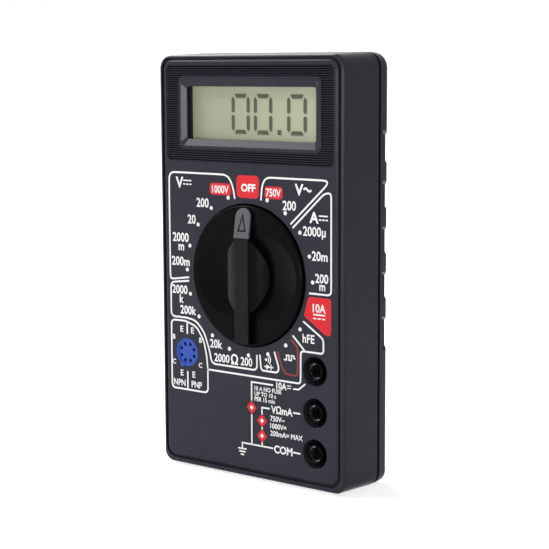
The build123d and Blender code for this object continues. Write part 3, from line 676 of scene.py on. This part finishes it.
range_names = [
    ("200", -17.3, 81.8, 2.6), ("20", -21.7, 76.6, 2.6), ("2000", -26.2, 70.9, 2.6),
    ("m", -26.0, 67.8, 2.6), ("200m", -26.3, 63.6, 2.6), ("2000", -26.8, 54.9, 2.5),
    ("k", -26.1, 52.1, 2.5), ("200k", -23.5, 48.8, 2.5), ("20k", -12.5, 39.6, 2.5),
    ("2000", -10.3, 35.5, 2.4), ("200", -0.8, 35.5, 2.4), ("200", 15.4, 82.6, 2.6),
    ("2000µ", 24.3, 75.4, 2.6), ("20m", 26.2, 68.8, 2.6), ("200", 26.9, 62.5, 2.5),
    ("m", 27.1, 59.9, 2.4), ("hFE", 22.2, 44.8, 2.4),
]
for text, x, z, tall in range_names:
    word(white_print, text, x, z, tall)
print("range names", len(range_names))

# %% [markdown]
# The signs of the quantities are a little larger and full width, and the letters round the
# transistor socket are small: emitter, base and collector for either kind of transistor.

# %% Quantities and transistor letters
for text, x, z, tall, narrow in (("V", -26.4, 87.5, 3.1, 1.0), ("V", 18.9, 87.3, 3.1, 1.0),
                                 ("A", 24.2, 79.7, 3.0, 1.0), ("Ω", -5.4, 35.7, 2.8, 0.95)):
    word(white_print, text, x, z, tall, narrow=narrow, bold=0.03)
for text, x, z, tall in (("E", -26.2, 42.8, 1.8), ("E", -21.9, 42.7, 1.8), ("E", -26.3, 29.2, 1.8),
                         ("E", -21.5, 29.1, 1.8), ("B", -29.4, 40.1, 1.45),
                         ("B", -18.7, 40.0, 1.45), ("C", -29.4, 32.4, 1.45),
                         ("C", -18.8, 32.3, 1.45)):
    word(white_print, text, x, z, tall, narrow=1.0)
word(white_print, "NPN", -27.3, 26.1, 1.9)
word(white_print, "PNP", -20.4, 26.1, 1.9)
print("white faces with words", len(white_print.faces))

# %% [markdown]
# Direct current is shown by a solid bar over three dashes, alternating current by a wave. Both are
# drawn with the line helper, so they match the weight of the frames.

# %% Symbols of the two currents
def direct_current(x, z, wide, lift=WORD_LIFT):
    """A solid bar over three dashes."""
    weight, apart = 0.42, 0.55
    line(white_print, [(x - wide / 2, z + apart), (x + wide / 2, z + apart)], weight, lift=lift)
    dash = wide * 0.26
    for k in (-1, 0, 1):
        middle = x + k * (wide - dash) / 2
        ends = [(middle - dash / 2, z - apart), (middle + dash / 2, z - apart)]
        line(white_print, ends, weight, lift=lift)


def alternating_current(x, z, wide, weight):
    """One period of a wave."""
    steps, height = 12, 0.42
    wave = []
    for k in range(steps + 1):
        wave.append((x + wide * (k / steps - 0.5), z + height * math.sin(2 * math.pi * k / steps)))
    line(white_print, wave, weight)


direct_current(-23.3, 87.6, 3.3)
direct_current(27.5, 79.7, 3.1)
alternating_current(21.9, 87.4, 2.7, 0.6)
print("white faces with symbols", len(white_print.faces))

# %% [markdown]
# Twenty stops surround the switch, one every eighteen degrees. All but two of them have a dot: the
# off position at the top and the highest current range have a red patch instead.

# %% Stop dots
stop_circle, dot_radius = 23.7, 0.6
stop_count, patched_stops = 20, (0, 6)
stop_angle = 360 // stop_count
stops = [k * stop_angle for k in range(stop_count) if k not in patched_stops]
for angle in stops:
    turn = math.radians(angle)
    dot(white_print, stop_circle * math.sin(turn), dial_z + stop_circle * math.cos(turn),
        dot_radius)
print("stop dots", len(stops))

# %% [markdown]
# The remaining symbols are small drawings: a square wave, a diode with a sound wave, and the earth
# sign. Each is a few short lines of ink, so no extra tool is needed.

# %% Small drawn symbols
line(white_print, [(13.2, 37.8), (14.2, 37.8), (14.2, 39.2), (15.1, 39.2), (15.1, 37.8),
                   (16.0, 37.8), (16.0, 39.2), (16.9, 39.2), (16.9, 38.5), (17.5, 38.5)], 0.42)
line(white_print, [(5.9, 34.9), (9.4, 34.9)], 0.36)
prism(white_print, [(6.7, 35.7), (6.7, 34.1), (8.3, 34.9)], WORD_LIFT)
line(white_print, [(8.5, 35.7), (8.5, 34.1)], 0.36)
sound_x, sound_z = 6.6, 37.0
dot(white_print, sound_x, sound_z, 0.42)
for radius in (1.0, 1.7):
    arc = [(sound_x + radius * math.cos(t * 0.2), sound_z + radius * math.sin(t * 0.2))
           for t in range(-4, 5)]
    line(white_print, arc, 0.34)
earth_x = -2.6
line(white_print, [(earth_x, 10.8), (earth_x, 9.1)], 0.5)
for half_bar, z in ((1.65, 9.0), (1.2, 8.1), (0.65, 7.2)):
    line(white_print, [(earth_x - half_bar, z), (earth_x + half_bar, z)], 0.45)
print("white faces with drawings", len(white_print.faces))

# %% [markdown]
# Red patches mark the off position and the highest ranges. White words are laid over them, so they
# get a little more lift than the patch: ink over ink.

# %% Red patches
patch(red_print, [(-4.1, 84.0), (-4.1, 90.6), (4.4, 90.6), (4.2, 84.0)], 1.5)
patch(red_print, [(-14.4, 84.4), (-14.4, 87.9), (-6.4, 87.9), (-6.0, 84.4)], 1.2)
patch(red_print, [(6.3, 84.2), (6.5, 87.8), (13.0, 87.8), (13.0, 84.2)], 1.2)
patch(red_print, [(22.2, 57.0), (30.2, 57.0), (30.2, 46.5), (28.6, 46.2), (20.5, 51.3)], 0.9)
word(white_print, "OFF", 0.3, 87.0, 2.1, narrow=1.0, bold=0.038, lift=WORD_ON_PATCH)
word(white_print, "1000V", -10.3, 86.1, 2.2, narrow=0.82, lift=WORD_ON_PATCH)
word(white_print, "750V", 9.6, 86.0, 2.2, narrow=0.82, lift=WORD_ON_PATCH)
word(white_print, "10A", 26.0, 53.9, 2.3, narrow=0.9, lift=WORD_ON_PATCH)
direct_current(26.0, 51.5, 4.2, lift=LINE_ON_PATCH)
print("red faces", len(red_print.faces))

# %% [markdown]
# The lower field names the test sockets. Lines lead from each socket to its name and ratings. The
# three columns of lines share a few measures, so those have names of their own.

# %% Socket lines and names
high_line_x, low_line_x, common_z = 1.1, 5.0, 10.8
for path in ([(9.2, 29.7), (high_line_x, 29.7), (high_line_x, 24.1)],
             [(high_line_x, 19.9), (high_line_x, common_z)],
             [(16.6, 29.5), (18.6, 29.6), (21.0, 31.5)],
             [(low_line_x, 20.4), (low_line_x, 22.5), (7.9, 22.5)],
             [(low_line_x, 16.6), (low_line_x, 15.9)],
             [(low_line_x, 12.0), (low_line_x, common_z)],
             [(16.6, 22.5), (19.2, 22.5)],
             [(earth_x - 0.25, common_z), (9.2, common_z)],
             [(16.5, 10.7), (19.2, 10.7)]):
    line(white_print, path, 0.5)
word(white_print, "10A", 12.3, 29.8, 1.9, narrow=0.9, bold=0.03)
for z in (30.2, 29.5):
    line(white_print, [(14.4, z), (15.9, z)], 0.28)
word(white_print, "VΩmA", 12.4, 22.5, 2.1, narrow=0.9, bold=0.03)
word(white_print, "COM", 12.9, 10.7, 2.2, narrow=0.95, bold=0.03)
print("white faces with socket names", len(white_print.faces))

# %% [markdown]
# The small ratings are set flush left, but our words are printed from their middle. So a second
# helper first prints a word on a trial mesh to learn its width, and then prints it half that width
# to the right of its left end.

# %% Ratings set flush left
def flush_left(text, left, z, tall, narrow=0.92):
    """Prints a small word that starts at left."""
    trial = bmesh.new()
    width = word(trial, text, 0, z, tall, narrow=narrow)
    trial.free()
    word(white_print, text, left + width / 2, z, tall, narrow=narrow)


for text, left, z, tall in (("750V~", 8.1, 19.7, 1.5), ("1000V=", 8.1, 17.5, 1.5),
                            ("200mA= MAX", 8.1, 15.3, 1.5), ("10 A NO FUSE", 2.2, 28.0, 1.25),
                            ("UP TO 10 s", 2.2, 26.4, 1.25), ("PER 15 min", 2.2, 24.8, 1.25)):
    flush_left(text, left, z, tall)
print("white faces with ratings", len(white_print.faces))

# %% [markdown]
# Plain red diamonds mark where the lines branch; they carry no sign. Each has a small white
# diamond in its middle, laid over the red one.

# %% Diamonds
def diamond(ink, x, z, half_wide, half_tall, radius, lift):
    """A diamond standing on its point."""
    patch(ink, [(x, z + half_tall), (x + half_wide, z), (x, z - half_tall), (x - half_wide, z)],
          radius, lift)


for x, z in ((high_line_x, 22.0), (low_line_x, 18.5), (low_line_x, 13.95)):
    diamond(red_print, x, z, 1.9, 2.1, 0.3, PATCH_LIFT)
    diamond(white_print, x, z, 0.7, 0.75, 0.15, LINE_ON_PATCH)
print("red faces with diamonds", len(red_print.faces))

# %% [markdown]
# The ink meshes are finished by turning every face outwards, and each becomes one piece. They ride
# on the case body, because the print never moves with the switch.

# %% Put the print on the case
def as_piece(name, ink, material):
    """Turns an ink mesh into an object with one finish."""
    bmesh.ops.recalc_face_normals(ink, faces=ink.faces)
    mesh = bpy.data.meshes.new(name)
    ink.to_mesh(mesh)
    ink.free()
    mesh.materials.append(material)
    piece = bpy.data.objects.new(name, mesh)
    bpy.context.collection.objects.link(piece)
    print(name, len(mesh.vertices), "points")
    return piece


for name, ink, material in (("print_white", white_print, white_ink),
                            ("print_red", red_print, red_ink),
                            ("print_dark_red", dark_red_print, dark_red_ink)):
    piece = as_piece(name, ink, material)
    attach(piece, "case")

# %% [markdown]
# The display shows three noughts and a point. A figure of such a cell has seven bars with slanted
# ends and fine gaps between them; a nought leaves its middle bar clear, so six are drawn. The
# right and lower bars are the left and upper ones mirrored, as on the real electrodes.

# %% The six bars of a nought
digit_tall, bar = 11.7, 1.2


def nought(wide):
    """Outlines of the dark bars, from the lower left corner of the figure."""
    h, t, m = digit_tall, bar, digit_tall / 2
    top = [(1.15, h), (wide - 1.15, h), (wide - 1.75, h - t), (1.75, h - t)]
    upper_left = [(0, h - 1.5), (0.7, h - 0.75), (t, h - 1.75), (t, m + 0.75), (t / 2, m + 0.3),
                  (0, m + 0.6)]
    upper_right = [(wide - x, z) for x, z in upper_left]
    lower_left = [(x, h - z) for x, z in upper_left]
    lower_right = [(wide - x, h - z) for x, z in upper_left]
    bottom = [(x, h - z) for x, z in top]
    return top, upper_right, lower_right, bottom, lower_left, upper_left


print("bars in a figure", len(nought(7.0)))

# %% [markdown]
# The figures are a thin layer just in front of the glass. A paler copy is set a little lower and
# deeper: it is the shadow that the dark crystals throw on the reflector behind them. It could be
# left to the lamps, but their shadow would fade into the soft light.

# %% Figures of the display
segment_ink = finish("segment_ink", (0.062, 0.070, 0.040), (0.080, 0.088, 0.052), (0.34, 0.42),
                     0.4, 0.0)
segment_shade = finish("segment_shade", (0.335, 0.350, 0.235), (0.360, 0.375, 0.255),
                       (0.34, 0.42), 0.4, 0.0)
figure_foot = 102.35
point_left, point_right, point_low, point_high = 7.8, 9.2, 102.4, 103.75


def display_layer(depth, shift_x, shift_z):
    """One layer of figures; depth is counted in millimetres from the glass."""
    layer = bmesh.new()
    offset = (face_y - glass_low.y) / MM + depth
    for left, wide in ((-9.4, 6.9), (-1.0, 6.9), (11.3, 7.1)):
        for outline in nought(wide):
            prism(layer, [(left + x + shift_x, figure_foot + z + shift_z) for x, z in outline],
                  offset)
    prism(layer, [(x + shift_x, z + shift_z)
                  for x, z in ((point_left, point_low), (point_right, point_low),
                               (point_right, point_high), (point_left, point_high))], offset)
    return layer


for name, material, layer in (
        ("display_shadow", segment_shade, display_layer(0.02, 0.25, -0.3)),
        ("display_figures", segment_ink, display_layer(0.06, 0, 0))):
    piece = as_piece(name, layer, material)
    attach(piece, "case")
in_front = (glass_low.y - piece.data.vertices[0].co.y) / MM
print("figures in front of the glass by", round(in_front, 3), "mm")

# %% [markdown]
# The studio is a pale floor that curves up behind the meter, so that there is no horizon line. One
# sheet does it: a flat stretch, a quarter turn and a wall, turned so that the wall stands across
# the view.

# %% Floor and backdrop
near_end, bend_start, bend_radius, wall_top, half_width = -1.6, 1.2, 0.5, 2.4, 2.5
bend_steps = 16
sweep_profile = [(near_end, 0.0), (bend_start, 0.0)]
for k in range(1, bend_steps + 1):
    a = math.pi / 2 * k / bend_steps
    sweep_profile.append((bend_start + bend_radius * math.sin(a),
                          bend_radius - bend_radius * math.cos(a)))
sweep_profile.append((bend_start + bend_radius, wall_top))
stage_mesh = bmesh.new()
left_edge, right_edge = [[stage_mesh.verts.new((x, y, z)) for y, z in sweep_profile]
                         for x in (-half_width, half_width)]
for i in range(len(sweep_profile) - 1):
    stage_mesh.faces.new((left_edge[i], right_edge[i], right_edge[i + 1], left_edge[i + 1]))
floor_data = bpy.data.meshes.new("studio_floor")
stage_mesh.to_mesh(floor_data)
stage_mesh.free()
for polygon in floor_data.polygons:
    polygon.use_smooth = True
studio_floor = bpy.data.objects.new("studio_floor", floor_data)
studio_floor.location.z = cad_low.z
studio_floor.rotation_euler.z = math.radians(38)
bpy.context.collection.objects.link(studio_floor)
print("floor strips", len(floor_data.polygons))

# %% [markdown]
# The paper has to look white without lighting the dark meter too much from below. A Light Path
# node tells what kind of ray arrives. Rays from the camera, and rays mirrored in or passing
# through the meter, find paper with a glow of its own; all other light meets plain grey paper.
# The shadow of the meter still shows on it.

# %% Paper
PAPER_GREY, PAPER_GLOW = 0.50, 0.76


def direct_rays(tree):
    """One for rays that come from the camera, a mirror or a clear piece, nought for others."""
    rays = tree.nodes.new("ShaderNodeLightPath").outputs
    mirrored = maths(tree, "ADD", rays["Is Glossy Ray"], rays["Is Transmission Ray"])
    return maths(tree, "ADD", rays["Is Camera Ray"], mirrored, clamp=True)


paper = bpy.data.materials.new("studio_paper")
paper.use_nodes = True
paper_tree = paper.node_tree
paper_shader = paper_tree.nodes["Principled BSDF"]
paper_shader.inputs["Base Color"].default_value = (PAPER_GREY, PAPER_GREY, PAPER_GREY, 1)
paper_shader.inputs["Roughness"].default_value = 0.9
paper_shader.inputs["Emission Color"].default_value = (1, 1, 1, 1)
glow = maths(paper_tree, "MULTIPLY", direct_rays(paper_tree), PAPER_GLOW)
paper_tree.links.new(glow, paper_shader.inputs["Emission Strength"])
floor_data.materials.append(paper)
print("paper glows", PAPER_GLOW)

# %% [markdown]
# Dark plastic shows little of its own colour. What we see on it is mostly the reflection of the
# lamps, and a lamp is seen in a surface only from the mirrored direction. So each lamp stands
# where one set of slopes needs it: low in front for the left slope of the display frame, high on
# the left for its lower slope, low on the right for the upright rounds of that side, and high on
# the left behind for the top edge. A weak one above opens the slots.

# %% Lamps
aim = Vector((0, 0, 0.06))


def soft_lamp(name, azimuth, elevation, distance, size, power):
    """A square lamp aimed at the meter; azimuth 0 is in front of the face, 90 to its right."""
    lamp = bpy.data.lights.new(name, "AREA")
    lamp.shape = "SQUARE"
    lamp.size = size
    lamp.energy = power
    holder = bpy.data.objects.new(name, lamp)
    a, e = math.radians(azimuth), math.radians(elevation)
    way = Vector((math.sin(a) * math.cos(e), -math.cos(a) * math.cos(e), math.sin(e)))
    holder.location = aim + way * distance
    holder.rotation_mode = "QUATERNION"
    holder.rotation_quaternion = (-way).to_track_quat("-Z", "Y")
    bpy.context.collection.objects.link(holder)
    print(name, "at", [round(v, 2) for v in holder.location], power, "W")


soft_lamp("front_lamp", 13, 4, 1.3, 0.26, 7.2)
soft_lamp("left_lamp", -52, 37, 1.3, 0.32, 5.3)
soft_lamp("edge_lamp", 46, -1, 1.3, 0.30, 4.0)
soft_lamp("back_lamp", -108, 42, 1.2, 0.8, 26)
soft_lamp("top_lamp", 12, 78, 1.2, 0.4, 1)

# %% [markdown]
# A pale sky fills in from all sides. Like the paper it looks fully white to the camera and in
# mirrors, but it lights the meter with only a fifth of that, so the dark plastic stays dark.

# %% Sky
SKY_LIGHT, SKY_SEEN = 0.20, 1.0
sky = bpy.data.worlds.new("studio_sky")
scene.world = sky
sky.use_nodes = True
sky_tree = sky.node_tree
background = sky_tree.nodes["Background"]
background.inputs["Color"].default_value = (1, 1, 1, 1)
sky_level = ramp(sky_tree, direct_rays(sky_tree), 0.0, 1.0, SKY_LIGHT, SKY_SEEN)
sky_tree.links.new(sky_level, background.inputs["Strength"])
print("sky lights with", SKY_LIGHT, "and looks", SKY_SEEN)

# %% [markdown]
# The camera stands to the right of the meter at the height of its top edge, and looks slightly
# down. It stands less than half a metre away behind a long lens, which keeps the two sides of the
# case nearly parallel. It is aimed by a heading, a dip and a small roll, which are easier to read
# and to correct than a rotation matrix.

# %% Camera
lens_data = bpy.data.cameras.new("catalogue_camera")
camera = bpy.data.objects.new("catalogue_camera", lens_data)
bpy.context.collection.objects.link(camera)
scene.camera = camera
lens_data.lens = 101.66
lens_data.sensor_width = 36
lens_data.clip_start, lens_data.clip_end = 0.01, 20
camera.location = (0.28537, face_y - 0.34792, 0.12259)
heading, dip, roll = math.radians(38.37), math.radians(7.727), math.radians(-0.245)
gaze = Vector((-math.sin(heading) * math.cos(dip), math.cos(heading) * math.cos(dip),
               -math.sin(dip)))
camera.rotation_mode = "QUATERNION"
camera.rotation_quaternion = gaze.to_track_quat("-Z", "Y") @ Quaternion((0, 0, 1), roll)
print("camera", [round(v, 3) for v in camera.location], "lens", lens_data.lens)
